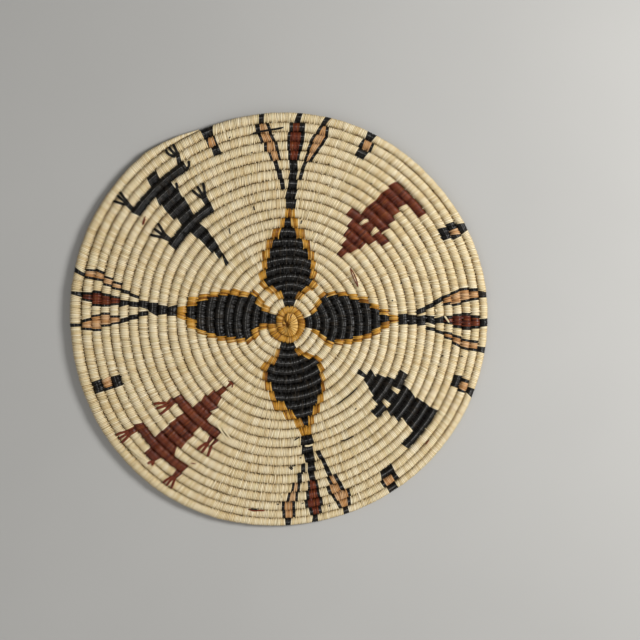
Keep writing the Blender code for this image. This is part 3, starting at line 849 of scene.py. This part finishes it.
class PLAQUE_OT_feathers(Operator):
    """Sews the stems and the three feathers at each side"""

    bl_idname = "plaque.feathers"
    bl_label = "Stems and feathers"

    def execute(self, context):
        for side in SIDES:
            sew(context, f"stem_{side}_stitches", STEMS[side] + stalk_runs(side), "black", f"stem_{side}")
            black = list(FEATHER_TIPS[side])
            for which, dye in (("first", "peach"), ("middle", "red_brown"), ("last", "peach")):
                edges, middles = feather_parts(f"{side}_{which}")
                black += edges
                sew(context, f"feather_{side}_{which}_stitches", middles, dye, f"feather_{side}_{which}")
            sew(context, f"feather_outlines_{side}", black, "black")
        return {"FINISHED"}


class PLAQUE_OT_animals(Operator):
    """Sews the two lizards and the two animal heads"""

    bl_idname = "plaque.animals"
    bl_label = "Animals"

    def execute(self, context):
        sew(context, "lizard_black_stitches", BLACK_LIZARD, "black", "lizard_black")
        sew(context, "lizard_red_stitches", RED_LIZARD, "red_brown", "lizard_red")
        sew(context, "animal_head_red_stitches", RED_HEAD, "red_brown", "animal_head_red")
        sew(context, "animal_head_black_stitches", BLACK_HEAD, "black", "animal_head_black")
        return {"FINISHED"}


class PLAQUE_OT_checks(Operator):
    """Sews the checks along the rim"""

    bl_idname = "plaque.checks"
    bl_label = "Rim checks"

    def execute(self, context):
        for place, runs in RIM_CHECKS.items():
            sew(context, f"rim_check_{place}_stitches", runs, "black", f"rim_check_{place}")
        sew(context, "rim_check_middles", CHECK_MIDDLES, "peach")
        return {"FINISHED"}


START_FINENESS = 1.3

# The knot is a ball with some spokes for each splint: its half sizes, its place and the point where the splints meet,
# both from the coil's start, and where the spokes stand in a splint
KNOT_SPLINTS = 24
KNOT_RINGS = 20
KNOT_SIZE = (0.0080, 0.0119, 0.0037)
KNOT_CENTRE = (0.0011, -0.0011, 0.0039)
KNOT_POINT = (-0.0034, -0.0006)
KNOT_ROUNDNESS = 3.0
SPLINT_POINTS = (0.0, 0.3, 0.7)
KNOT_SPOKES = KNOT_SPLINTS * len(SPLINT_POINTS)
SPLINT_WIDTHS = (0.6, 1.4)

# Heights on the knot, in its half heights
SPLINT_LIFT = 0.11
SPLINT_GROOVE = 0.2
DIP_DEPTH = 0.42
DIP_WIDTH = 0.16
CONE_DEPTH = 0.10

# Splints between these angles, on the side facing the key lamp, are pale as bleached splints and as painted highlight,
# by a high draw for their second tint
PALE_LIT_SPLINTS = (-1.1, 1.15)
PALE_LIT_DRAW = 0.97


class PLAQUE_OT_start(Operator):
    """Sews the gold start of the coil and the wrapped knot in it"""

    bl_idname = "plaque.start"
    bl_label = "Start"

    def execute(self, context):
        sew(context, "start_stitches", START, "gold", "start_stitching", fineness=START_FINENESS)
        deselect_all()
        bpy.ops.mesh.primitive_uv_sphere_add(segments=KNOT_SPOKES, ring_count=KNOT_RINGS, radius=1.0)
        knot = context.active_object
        knot.name = "start_knot_splints"
        knot.data.name = knot.name
        self.shape(knot)
        make_active(knot)
        bpy.ops.object.shade_smooth_by_angle(angle=math.radians(SMOOTH_ANGLE))
        finish_piece(knot, "gold", "start_knot")
        return {"FINISHED"}

    def shape(self, knot):
        """Flattens the ball to an oval cushion, with splints that meet in a dip off its middle."""
        rng = np.random.default_rng(RANDOM_SEED)
        widths = rng.uniform(*SPLINT_WIDTHS, KNOT_SPLINTS)
        borders = np.concatenate([[0.0], np.cumsum(widths)]) / widths.sum() * math.tau
        lift = rng.normal(0.0, SPLINT_LIFT, KNOT_SPLINTS)
        middle = Vector((START_X + KNOT_CENTRE[0], START_Y + KNOT_CENTRE[1]))
        straight, seams = [], []
        for vertex in knot.data.vertices:
            unit = vertex.co
            spoke = round(math.atan2(unit.y, unit.x) / math.tau * KNOT_SPOKES) % KNOT_SPOKES
            splint, point = divmod(spoke, len(SPLINT_POINTS))
            turn = borders[splint] + (borders[splint + 1] - borders[splint]) * SPLINT_POINTS[point]
            tilt = math.atan2(math.hypot(unit.x, unit.y), abs(unit.z))
            out = tilt / (math.pi / 2)
            height = math.copysign((1 - min(out, 1.0) ** KNOT_ROUNDNESS) ** (1 / KNOT_ROUNDNESS), unit.z)
            if unit.z > 0:
                height -= DIP_DEPTH * math.exp(-((out / DIP_WIDTH) ** 2)) + CONE_DEPTH * (1 - out)
                height += (lift[splint] - (SPLINT_GROOVE if point == 0 else 0.0)) * min(out * 4, 1.0)
            flat = Vector((math.cos(turn) * KNOT_SIZE[0], math.sin(turn) * KNOT_SIZE[1])) * out
            flat += Vector(KNOT_POINT) * (1 - out)
            vertex.co = (*(middle + flat), KNOT_CENTRE[2] + height * KNOT_SIZE[2])
            straight += [turn * KNOT_SIZE[0], 0.0, out * KNOT_SIZE[0]]
            # The seams and the dip in the middle take the painted shade of the finish
            seams.append(float(point == 0 or out < DIP_WIDTH))
        add_values(knot.data, "straight", "FLOAT_VECTOR", "POINT", straight)
        add_values(knot.data, "seam", "FLOAT", "POINT", seams)
        tones = rng.random((KNOT_SPLINTS, 3))
        middles = (borders[1:] + borders[:-1]) / 2
        # Splints facing the key lamp are painted lighter, as bleached splints and as painted highlight
        facing = np.where(middles > math.pi, middles - math.tau, middles)
        tones[(facing > PALE_LIT_SPLINTS[0]) & (facing < PALE_LIT_SPLINTS[1]), 2] = PALE_LIT_DRAW
        shades = []
        for face in knot.data.polygons:
            away = face.center.xy - middle
            turn = math.atan2(away.y / KNOT_SIZE[1], away.x / KNOT_SIZE[0]) % math.tau
            shades.append(tones[min(int(np.searchsorted(borders, turn)) - 1, KNOT_SPLINTS - 1)])
        add_values(knot.data, "stitch_shade", "FLOAT_VECTOR", "FACE", shades)


ROUTE_STEPS = 2
THREAD_THICKNESS = 0.0008
THREAD_LIFT = 0.0003
THREAD_END_SHARE = 0.55

# Threads take their finish as if they lay beside a row's crest, away from its wear and painted highlight, and the pale
# ones from a high draw
THREAD_SIDE = 0.002
PALE_THREAD_DRAW = 0.98
DYED_THREAD_DRAW = 0.6


class PLAQUE_OT_loose_splints(Operator):
    """Lays the toes, loose threads and splint ends on the coil"""

    bl_idname = "plaque.loose_splints"
    bl_label = "Loose splints"

    def execute(self, context):
        spiral = Spiral(context.scene)
        for name, (width, dye, routes) in LOOSE_SPLINTS.items():
            laid = [self.lay(context, spiral, width, route) for route in routes]
            deselect_all()
            for thread in laid:
                thread.select_set(True)
            context.view_layer.objects.active = laid[0]
            bpy.ops.object.convert(target="MESH")
            if len(laid) > 1:
                bpy.ops.object.join()
            piece = context.active_object
            piece.name = name
            piece.data.name = name
            bpy.ops.object.mode_set(mode="EDIT")
            bpy.ops.mesh.select_all(action="SELECT")
            bpy.ops.mesh.remove_doubles(threshold=MERGE)
            bpy.ops.mesh.normals_make_consistent(inside=False)
            bpy.ops.object.mode_set(mode="OBJECT")
            bpy.ops.object.shade_smooth()
            places = np.array([(vertex.co.x, THREAD_SIDE, vertex.co.z) for vertex in piece.data.vertices])
            draws = np.full(len(piece.data.polygons) * 3, PALE_THREAD_DRAW if dye == "plain" else DYED_THREAD_DRAW)
            add_values(piece.data, "straight", "FLOAT_VECTOR", "POINT", places)
            add_values(piece.data, "seam", "FLOAT", "POINT", np.zeros(len(places)))
            add_values(piece.data, "stitch_shade", "FLOAT_VECTOR", "FACE", draws)
            finish_piece(piece, dye)
        return {"FINISHED"}

    def lay(self, context, spiral, width, route):
        """One thread along its route, over the rounded rows."""
        deselect_all()
        bpy.ops.curve.primitive_nurbs_path_add()
        thread = context.active_object
        bpy.ops.object.mode_set(mode="EDIT")
        bpy.ops.curve.select_all(action="SELECT")
        bpy.ops.curve.subdivide(number_cuts=ROUTE_STEPS)
        bpy.ops.object.mode_set(mode="OBJECT")
        path = thread.data
        path.twist_mode = "Z_UP"
        path.bevel_depth = THREAD_THICKNESS / 2
        path.extrude = (width - THREAD_THICKNESS) / 2
        path.bevel_resolution = 1
        path.use_fill_caps = True
        path.resolution_u = 2
        points = path.splines[0].points
        shares = np.linspace(0.0, 1.0, len(points))
        known = np.linspace(0.0, 1.0, len(route) // 2)
        rows, angles = (np.interp(shares, known, route[first::2]) for first in (0, 1))
        for point, row, angle in zip(points, rows, angles):
            place = spiral.top(float(row), float(angle)) + Vector((0.0, 0.0, THREAD_LIFT))
            point.co = (*place, 1.0)
            point.tilt = math.pi / 2
        points[0].radius = points[-1].radius = THREAD_END_SHARE
        return thread


# Finishes


def link(tree, source, target, entry):
    """Links a node's output, given as (node, output), to an input."""
    tree.links.new(source[0].outputs[source[1]], target.inputs[entry])


def sums(tree, operation, *values):
    """A Math node. A value is a number, or a (node, output) pair that is linked."""
    node = tree.nodes.new("ShaderNodeMath")
    node.operation = operation
    for index, value in enumerate(values):
        if isinstance(value, tuple):
            link(tree, value, node, index)
        else:
            node.inputs[index].default_value = value
    return node, 0


def step(tree, value, slope, start):
    """A value times a slope, from a start, kept from 0 to 1."""
    line = sums(tree, "MULTIPLY_ADD", value, slope, start)
    return sums(tree, "MINIMUM", sums(tree, "MAXIMUM", line, 0.0), 1.0)


def noise(tree, vector, scale, detail, roughness=0.55):
    """A Noise texture on a scaled vector."""
    mapping = tree.nodes.new("ShaderNodeMapping")
    mapping.inputs["Scale"].default_value = scale
    link(tree, vector, mapping, "Vector")
    texture = tree.nodes.new("ShaderNodeTexNoise")
    texture.inputs["Scale"].default_value = 1.0
    texture.inputs["Detail"].default_value = detail
    texture.inputs["Roughness"].default_value = roughness
    link(tree, (mapping, "Vector"), texture, "Vector")
    return texture, 0


def ramp(tree, factor, stops):
    """A Color Ramp with (place, colour) stops."""
    node = tree.nodes.new("ShaderNodeValToRGB")
    while len(node.color_ramp.elements) < len(stops):
        node.color_ramp.elements.new(0.5)
    for element, (place, colour) in zip(node.color_ramp.elements, stops):
        element.position = place
        element.color = (*colour, 1.0)
    link(tree, factor, node, "Fac")
    return node, 0


def mix(tree, factor, first, second):
    """Mixes a colour that is linked with one that is given."""
    node = tree.nodes.new("ShaderNodeMixRGB")
    link(tree, factor, node, "Fac")
    link(tree, first, node, "Color1")
    node.inputs["Color2"].default_value = (*second, 1.0)
    return node, 0


def value_of(tree, name, output):
    """An attribute of the sewn pieces."""
    node = tree.nodes.new("ShaderNodeAttribute")
    node.attribute_name = name
    return node, output


def split(tree, vector):
    """The three parts of a vector."""
    node = tree.nodes.new("ShaderNodeSeparateXYZ")
    link(tree, vector, node, "Vector")
    return [(node, axis) for axis in "XYZ"]


# Scales of the noises: along the coil, across it and up, or the same all round
STREAKS = (5200.0, 240.0, 240.0)
PATCHES = (30.0, 30.0, 30.0)
SLOW_TONES = (95.0, 40.0, 40.0)
CREST_WAVER = (260.0, 0.0, 0.0)
CREST_BREAKS = (800.0, 60.0, 60.0)
FLECKS = (420.0, 260.0, 260.0)

# How much the noises change the tone and the roughness
STREAK_ROUGHNESS = 0.6
STREAK_SPREAD = 0.40
SLOW_SPREAD = 0.25
ROUGHNESS_SPREAD = 0.25

# The pale line along a row's crest, wear and painted highlight, in metres: how far it wavers, and how fast it fades to
# its sides
WAVER_WIDTH = 0.0012
CREST_STEP = (-3600.0, 1.35)
FACE_UP = 0.0025

# How steeply an odd tint, a break in the crest, the painted shade beside a row and the flecks set in, and where
TINT_STEP = 8.0
BREAK_STEP = (4.6, -1.7)
SIDE_STEP = (-330.0, 1.3)
FLECK_STEP = (14.0, -9.2)
FLECK_SIDE_STEP = (-700.0, 2.4)
# Painted shade with some grime, down the sides of the rows and in the seams
SIDE_POWER = 1.7
SEAM_POWER = 1.4
SEAM_SHADE = 0.8
SHADE_AND_GRIME_SHARE = 0.9
FLECK = (0.07, 0.035, 0.012)
SPECULAR = 0.25
BUMP_STRENGTH = 0.5
BUMP_HEIGHT = 0.0001


def fibre(name, tones, shade_and_grime, crest_wear_and_sheen, crest_wear_and_sheen_share, tints, roughness, uneven, patchy, flecks=0.0):
    """Splints of one dye: tone by stitch, streaks, a crest line of wear and painted highlight, painted shade with grime
    low down.
    """
    made = bpy.data.materials.new(name)
    made.use_nodes = True
    tree = made.node_tree
    shader = tree.nodes["Principled BSDF"]
    straight = value_of(tree, "straight", "Vector")
    place = (tree.nodes.new("ShaderNodeTexCoord"), "Object")
    _, across, up = split(tree, straight)
    shades = split(tree, value_of(tree, "stitch_shade", "Vector"))

    streaks = noise(tree, straight, STREAKS, 2.0, STREAK_ROUGHNESS)
    tone = 0.5 - (uneven + STREAK_SPREAD + patchy + SLOW_SPREAD) / 2
    for source, spread in (
        (shades[0], uneven), (streaks, STREAK_SPREAD), (noise(tree, place, PATCHES, 3.0), patchy),
        (noise(tree, straight, SLOW_TONES, 2.0), SLOW_SPREAD),
    ):
        tone = sums(tree, "MULTIPLY_ADD", source, spread, tone)
    colour = ramp(tree, tone, tones)
    for shade, (tint, share, strength) in zip(shades[1:], tints):
        odd = step(tree, shade, TINT_STEP, TINT_STEP * (share - 1.0))
        colour = mix(tree, sums(tree, "MULTIPLY", odd, strength), colour, tint)

    # A pale line along the crest, partly wear and partly painted highlight
    waver = sums(tree, "MULTIPLY_ADD", noise(tree, straight, CREST_WAVER, 2.0), WAVER_WIDTH, -WAVER_WIDTH / 2)
    aside = sums(tree, "ABSOLUTE", sums(tree, "SUBTRACT", across, waver))
    wear_and_sheen = step(tree, aside, *CREST_STEP)
    broken = step(tree, noise(tree, straight, CREST_BREAKS, 2.0), *BREAK_STEP)
    wear_and_sheen = sums(tree, "MULTIPLY", sums(tree, "MULTIPLY", wear_and_sheen, broken), sums(tree, "GREATER_THAN", up, FACE_UP))
    colour = mix(tree, sums(tree, "MULTIPLY", wear_and_sheen, crest_wear_and_sheen_share), colour, crest_wear_and_sheen)

    # Painted shade with some grime: darker down the lower sides of each row and in the seams between stitches
    side = sums(tree, "POWER", step(tree, up, *SIDE_STEP), SIDE_POWER)
    seam = sums(tree, "POWER", value_of(tree, "seam", "Fac"), SEAM_POWER)
    shade_and_grime_mask = step(tree, seam, SEAM_SHADE, side)
    colour = mix(tree, sums(tree, "MULTIPLY", shade_and_grime_mask, SHADE_AND_GRIME_SHARE), colour, shade_and_grime)
    if flecks:
        bits = step(tree, noise(tree, straight, FLECKS, 1.0), *FLECK_STEP)
        bits = sums(tree, "MULTIPLY", bits, step(tree, up, *FLECK_SIDE_STEP))
        colour = mix(tree, sums(tree, "MULTIPLY", bits, flecks), colour, FLECK)
    link(tree, colour, shader, "Base Color")

    gloss = sums(tree, "MULTIPLY_ADD", streaks, ROUGHNESS_SPREAD, roughness - ROUGHNESS_SPREAD / 2)
    link(tree, gloss, shader, "Roughness")
    shader.inputs["Specular IOR Level"].default_value = SPECULAR
    bump = tree.nodes.new("ShaderNodeBump")
    bump.inputs["Strength"].default_value = BUMP_STRENGTH
    bump.inputs["Distance"].default_value = BUMP_HEIGHT
    link(tree, streaks, bump, "Height")
    link(tree, (bump, "Normal"), shader, "Normal")


class PLAQUE_OT_finishes(Operator):
    """Makes the finishes of the splints"""

    bl_idname = "plaque.finishes"
    bl_label = "Finishes"

    def execute(self, context):
        dye = context.scene.plaque_dye
        # The colour for the seams and low sides is painted shade with some grime; the crest colour is wear and painted
        # highlight
        fibre(
            "plain_splints",
            [(0.15, (0.50, 0.34, 0.15)), (0.35, (0.69, 0.54, 0.29)), (0.52, dye.plain), (0.85, (0.92, 0.83, 0.62))],
            shade_and_grime=(0.33, 0.215, 0.085), crest_wear_and_sheen=(0.93, 0.85, 0.65), crest_wear_and_sheen_share=0.3,
            tints=[((0.58, 0.54, 0.27), 0.12, 0.3), ((0.54, 0.36, 0.17), 0.12, 0.38)],
            roughness=0.55, uneven=0.3, patchy=0.25, flecks=0.9,
        )
        fibre(
            "black_splints",
            [
                (0.15, (0.004, 0.0033, 0.0025)), (0.5, dye.black), (0.8, (0.015, 0.0125, 0.009)),
                (1.0, (0.04, 0.034, 0.028)),
            ],
            shade_and_grime=(0.004, 0.0035, 0.003), crest_wear_and_sheen=(0.31, 0.3, 0.28), crest_wear_and_sheen_share=0.7,
            tints=[((0.030, 0.021, 0.012), 0.2, 0.7), ((0.003, 0.003, 0.003), 0.2, 0.7)],
            roughness=0.36, uneven=0.35, patchy=0.4,
        )
        fibre(
            "gold_splints",
            [(0.1, (0.22, 0.075, 0.005)), (0.42, dye.gold), (0.7, (0.62, 0.32, 0.045)), (0.95, (0.76, 0.49, 0.14))],
            shade_and_grime=(0.13, 0.045, 0.004), crest_wear_and_sheen=(0.76, 0.50, 0.18), crest_wear_and_sheen_share=0.2,
            tints=[((0.18, 0.058, 0.005), 0.22, 0.8), ((0.74, 0.47, 0.14), 0.2, 0.7)],
            roughness=0.42, uneven=0.6, patchy=0.4,
        )
        fibre(
            "red_brown_splints",
            [
                (0.1, (0.05, 0.008, 0.004)), (0.45, dye.red_brown), (0.75, (0.20, 0.045, 0.013)),
                (1.0, (0.32, 0.10, 0.033)),
            ],
            shade_and_grime=(0.03, 0.006, 0.004), crest_wear_and_sheen=(0.34, 0.13, 0.07), crest_wear_and_sheen_share=0.4,
            tints=[((0.22, 0.06, 0.011), 0.2, 0.6), ((0.04, 0.007, 0.004), 0.2, 0.6)],
            roughness=0.36, uneven=0.45, patchy=0.5,
        )
        fibre(
            "peach_splints",
            [(0.1, (0.34, 0.14, 0.04)), (0.45, dye.peach), (0.9, (0.68, 0.45, 0.25))],
            shade_and_grime=(0.15, 0.06, 0.02), crest_wear_and_sheen=(0.74, 0.53, 0.33), crest_wear_and_sheen_share=0.2,
            tints=[((0.46, 0.21, 0.06), 0.25, 0.6), ((0.66, 0.44, 0.24), 0.25, 0.6)],
            roughness=0.48, uneven=0.5, patchy=0.4,
        )
        return {"FINISHED"}


KEY_PLACE = (1.16, 0.27, 0.95)
KEY_SIZE = 0.5
FILL_PLACE = (-0.6, -1.2, 1.1)
FILL_SIZE = 1.8
BACKDROP = 0.8
SENSOR_WIDTH = 36.0
FLOOR_GAP = 0.0001
FLOOR_ROUGHNESS = 0.9
FLOOR_CLOUDS = (3.0, 3.0, 3.0)
FLOOR_TONES = (0.97, 1.03)


class PLAQUE_OT_stage(Operator):
    """Sets up the floor, the lamps and the camera"""

    bl_idname = "plaque.stage"
    bl_label = "Stage"

    def execute(self, context):
        stage = context.scene.plaque_stage
        self.floor(context, stage)
        self.lamp("key_lamp", KEY_PLACE, KEY_SIZE, stage.key_power)
        self.lamp("fill_lamp", FILL_PLACE, FILL_SIZE, stage.fill_power)
        self.sky(context, stage)
        self.camera(context, stage)
        context.scene.view_settings.view_transform = "Standard"
        return {"FINISHED"}

    def floor(self, context, stage):
        deselect_all()
        bpy.ops.mesh.primitive_plane_add(size=stage.floor_size, location=(0.0, 0.0, -FLOOR_GAP))
        floor = context.active_object
        floor.name = "floor"
        paint = bpy.data.materials.new("floor_paint")
        paint.use_nodes = True
        tree = paint.node_tree
        shader = tree.nodes["Principled BSDF"]
        cloud = noise(tree, (tree.nodes.new("ShaderNodeTexCoord"), "Object"), FLOOR_CLOUDS, 3.0)
        dark, light = (tuple(channel * share for channel in stage.floor) for share in FLOOR_TONES)
        link(tree, ramp(tree, cloud, [(0.3, dark), (0.7, light)]), shader, "Base Color")
        shader.inputs["Roughness"].default_value = FLOOR_ROUGHNESS
        floor.data.materials.append(paint)

    def lamp(self, name, place, size, power):
        deselect_all()
        bpy.ops.object.light_add(type="AREA", location=place)
        lamp = bpy.context.active_object
        lamp.name = name
        lamp.data.shape = "DISK"
        lamp.data.size = size
        lamp.data.energy = power
        lamp.rotation_euler = (-Vector(place)).to_track_quat("-Z", "Y").to_euler()

    def sky(self, context, stage):
        world = bpy.data.worlds.new("studio")
        context.scene.world = world
        world.use_nodes = True
        tree = world.node_tree
        background = tree.nodes["Background"]
        background.inputs["Color"].default_value = (1.0, 1.0, 1.0, 1.0)
        seen = (tree.nodes.new("ShaderNodeLightPath"), "Is Camera Ray")
        link(tree, sums(tree, "MULTIPLY_ADD", seen, BACKDROP - stage.sky, stage.sky), background, "Strength")

    def camera(self, context, stage):
        distance = stage.picture_width * stage.lens / SENSOR_WIDTH
        height = context.scene.plaque_coil.height + distance
        bpy.ops.object.camera_add(location=(stage.aim_x, stage.aim_y, height), rotation=(0.0, 0.0, 0.0))
        camera = context.active_object
        camera.data.lens = stage.lens
        camera.data.sensor_width = SENSOR_WIDTH
        context.scene.camera = camera


class PLAQUE_OT_put_away(Operator):
    """Removes the guide and the pattern stitch"""

    bl_idname = "plaque.put_away"
    bl_label = "Put away"

    def execute(self, context):
        for name in (GUIDE, PATTERN):
            bpy.data.objects.remove(bpy.data.objects[name])
        return {"FINISHED"}


STEPS = (
    PLAQUE_OT_stage, PLAQUE_OT_finishes, PLAQUE_OT_guide, PLAQUE_OT_pattern, PLAQUE_OT_plain_rows, PLAQUE_OT_petals,
    PLAQUE_OT_feathers, PLAQUE_OT_animals, PLAQUE_OT_checks, PLAQUE_OT_start, PLAQUE_OT_loose_splints,
    PLAQUE_OT_put_away,
)
SETTINGS = {
    "plaque_coil": CoilSettings, "plaque_stitch": StitchSettings, "plaque_dye": DyeSettings,
    "plaque_stage": StageSettings,
}


class PLAQUE_PT_panel(Panel):
    """Lists the steps and the sizes"""

    bl_idname = "PLAQUE_PT_panel"
    bl_label = "Coiled plaque"
    bl_space_type = "VIEW_3D"
    bl_region_type = "UI"
    bl_category = "Plaque"

    def draw(self, context):
        layout = self.layout
        for step in STEPS:
            layout.operator(step.bl_idname)
        for name, group in SETTINGS.items():
            box = layout.box()
            box.label(text=group.__doc__)
            for entry in group.__annotations__:
                box.prop(getattr(context.scene, name), entry)


def register():
    for group in SETTINGS.values():
        bpy.utils.register_class(group)
    for name, group in SETTINGS.items():
        setattr(bpy.types.Scene, name, PointerProperty(type=group))
    for step in (*STEPS, PLAQUE_PT_panel):
        bpy.utils.register_class(step)


def unregister():
    for step in reversed((*STEPS, PLAQUE_PT_panel)):
        bpy.utils.unregister_class(step)
    for name in SETTINGS:
        delattr(bpy.types.Scene, name)
    for group in reversed(list(SETTINGS.values())):
        bpy.utils.unregister_class(group)


def main():
    register()
    for step in STEPS:
        family, name = step.bl_idname.split(".")
        getattr(getattr(bpy.ops, family), name)()


if __name__ == "__main__":
    main()
